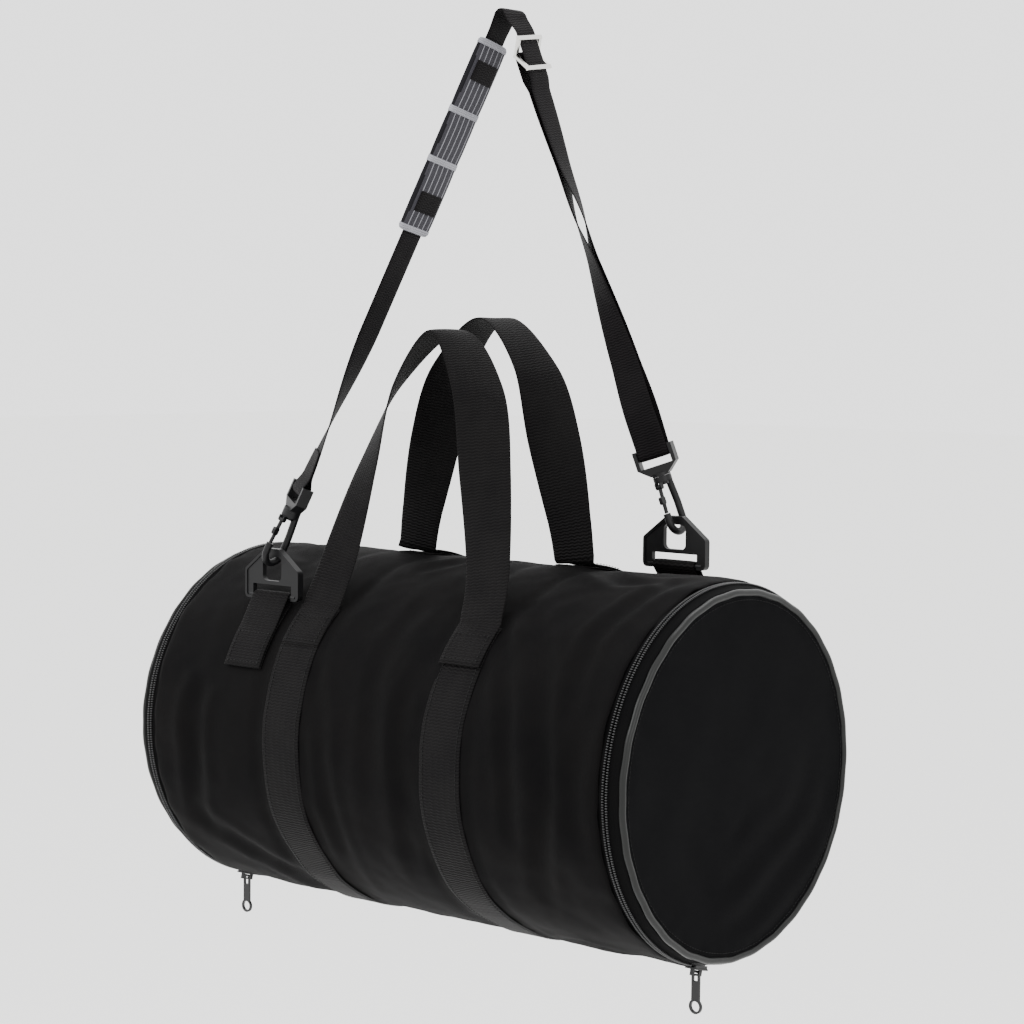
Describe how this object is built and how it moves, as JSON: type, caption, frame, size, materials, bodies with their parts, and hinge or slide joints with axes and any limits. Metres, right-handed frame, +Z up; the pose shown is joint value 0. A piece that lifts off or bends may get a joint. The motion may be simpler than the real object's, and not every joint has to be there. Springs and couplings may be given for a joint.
{
  "type": "barrel bag",
  "caption": "Soft barrel bag for rope or kit, with a zipped round door at each end, webbing carry handles and a clip-on padded shoulder strap.",
  "frame": {"origin": "the hang point: centre of the peg that the shoulder strap hangs over", "axes": "+X along the barrel towards the right door, +Y towards the back of the bag, +Z up"},
  "size_m": [0.5, 0.2832, 0.732],
  "materials": {
    "shell_fabric": "matt woven polyester",
    "gusset_fabric": "matt woven polyester",
    "body_webbing": "ribbed polypropylene webbing",
    "strap_webbing": "ribbed webbing",
    "door_fabric": "matt woven polyester",
    "piping": "satin piping cord cover",
    "binding": "folded seam binding",
    "zip_tape": "woven zip tape",
    "zip_coil": "nylon coil",
    "zip_stop": "nylon stop",
    "slider_metal": "black enamel",
    "pull_metal": "black enamel",
    "ring_plastic": "moulded acetal, satin",
    "hook_plastic": "moulded acetal, satin",
    "adjuster_metal": "satin nickel",
    "pad_cover": "striped woven pad cover",
    "pad_band": "light woven band"
  },
  "bodies": {
    "bag": {"barrel_shell": "shell_fabric", "barrel_webbing_left": "body_webbing", "barrel_webbing_right": "body_webbing", "ring_tab_front": "body_webbing", "ring_tab_rear": "body_webbing", "hinge_gusset_left": "gusset_fabric", "barrel_zip_tape_left": "zip_tape", "barrel_zip_teeth_left": "zip_coil", "zip_stops_left": "zip_stop", "hinge_gusset_right": "gusset_fabric", "barrel_zip_tape_right": "zip_tape", "barrel_zip_teeth_right": "zip_coil", "zip_stops_right": "zip_stop"},
    "door_left": {"door_panel_left": "door_fabric", "door_piping_left": "piping", "door_binding_left": "binding", "door_zip_tape_left": "zip_tape", "door_zip_teeth_left": "zip_coil"},
    "slider_left": {"zip_slider_left": "slider_metal"},
    "pull_left": {"zip_pull_left": "pull_metal"},
    "door_right": {"door_panel_right": "door_fabric", "door_piping_right": "piping", "door_binding_right": "binding", "door_zip_tape_right": "zip_tape", "door_zip_teeth_right": "zip_coil"},
    "slider_right": {"zip_slider_right": "slider_metal"},
    "pull_right": {"zip_pull_right": "pull_metal"},
    "handle_front": {"carry_handle_front": "body_webbing"},
    "handle_rear": {"carry_handle_rear": "body_webbing"},
    "ring_front": {"strap_ring_front": "ring_plastic"},
    "ring_rear": {"strap_ring_rear": "ring_plastic"},
    "strap": {"shoulder_strap": "strap_webbing", "strap_adjuster": "adjuster_metal", "swivel_yoke_front": "hook_plastic", "swivel_yoke_rear": "hook_plastic"},
    "pad": {"shoulder_pad": "pad_cover", "pad_band_1": "pad_band", "pad_band_2": "pad_band", "pad_band_3": "pad_band", "pad_band_4": "pad_band"},
    "hook_front": {"snap_hook_front": "hook_plastic"},
    "gate_front": {"hook_gate_front": "hook_plastic"},
    "hook_rear": {"snap_hook_rear": "hook_plastic"},
    "gate_rear": {"hook_gate_rear": "hook_plastic"}
  },
  "joints": [
    {"name": "door_left", "type": "hinge", "parent": "bag", "child": "door_left", "pos_m": [-0.2665, 0.03886, -0.69154], "axis": [0, -0.9613, -0.2756], "range_deg": [0, 110]},
    {"name": "zip_left", "type": "hinge", "parent": "bag", "child": "slider_left", "pos_m": [-0.02, 0, -0.556], "axis": [-1, 0, 0], "range_deg": [0, 302]},
    {"name": "pull_left", "type": "hinge", "parent": "slider_left", "child": "pull_left", "pos_m": [-0.256, -0.03202, -0.6947], "axis": [1, 0, 0], "range_deg": [-70, 70]},
    {"name": "door_right", "type": "hinge", "parent": "bag", "child": "door_right", "pos_m": [0.2265, 0.03886, -0.69154], "axis": [0, 0.9613, 0.2756], "range_deg": [0, 110]},
    {"name": "zip_right", "type": "hinge", "parent": "bag", "child": "slider_right", "pos_m": [-0.02, 0, -0.556], "axis": [-1, 0, 0], "range_deg": [0, 302]},
    {"name": "pull_right", "type": "hinge", "parent": "slider_right", "child": "pull_right", "pos_m": [0.216, -0.03202, -0.6947], "axis": [1, 0, 0], "range_deg": [-70, 70]},
    {"name": "handle_front", "type": "hinge", "parent": "bag", "child": "handle_front", "pos_m": [-0.02, -0.09739, -0.45156], "axis": [1, 0, 0], "range_deg": [0, 110]},
    {"name": "handle_rear", "type": "hinge", "parent": "bag", "child": "handle_rear", "pos_m": [-0.02, 0.00996, -0.41355], "axis": [-1, 0, 0], "range_deg": [0, 85]},
    {"name": "ring_front", "type": "hinge", "parent": "bag", "child": "ring_front", "pos_m": [-0.156, -0.097, -0.44801], "axis": [1, 0, 0], "range_deg": [-25, 25]},
    {"name": "strap_on_ring", "type": "hinge", "parent": "ring_front", "child": "strap", "pos_m": [-0.156, -0.097, -0.41371], "axis": [1, 0, 0], "range_deg": [-25, 25]},
    {"name": "ring_rear", "type": "hinge", "parent": "bag", "child": "ring_rear", "pos_m": [0.116, 0.06599, -0.415], "axis": [1, 0, 0], "range_deg": [-25, 25]},
    {"name": "pad_slide", "type": "slide", "parent": "strap", "child": "pad", "axis": [-0.3313, -0.2154, -0.9186], "range_m": [0, 0.06]},
    {"name": "swivel_front", "type": "hinge", "parent": "strap", "child": "hook_front", "pos_m": [-0.14532, -0.09036, -0.38537], "axis": [0.3446, 0.2143, 0.914], "range_deg": [-20, 20]},
    {"name": "gate_front", "type": "hinge", "parent": "hook_front", "child": "gate_front", "pos_m": [-0.14589, -0.09788, -0.38689], "axis": [0.9357, 0, -0.3528], "range_deg": [0, 14]},
    {"name": "swivel_rear", "type": "hinge", "parent": "strap", "child": "hook_rear", "pos_m": [0.10709, 0.06092, -0.35144], "axis": [-0.2875, -0.1636, 0.9437], "range_deg": [-20, 20]},
    {"name": "gate_rear", "type": "hinge", "parent": "hook_rear", "child": "gate_rear", "pos_m": [0.10834, 0.05454, -0.35556], "axis": [0.9566, 0, 0.2915], "range_deg": [0, 14]}
  ],
  "couplings": [
    {"joint": "strap_on_ring", "follows": "ring_front", "ratio": -1},
    {"joint": "ring_rear", "follows": "ring_front", "ratio": 1}
  ]
}
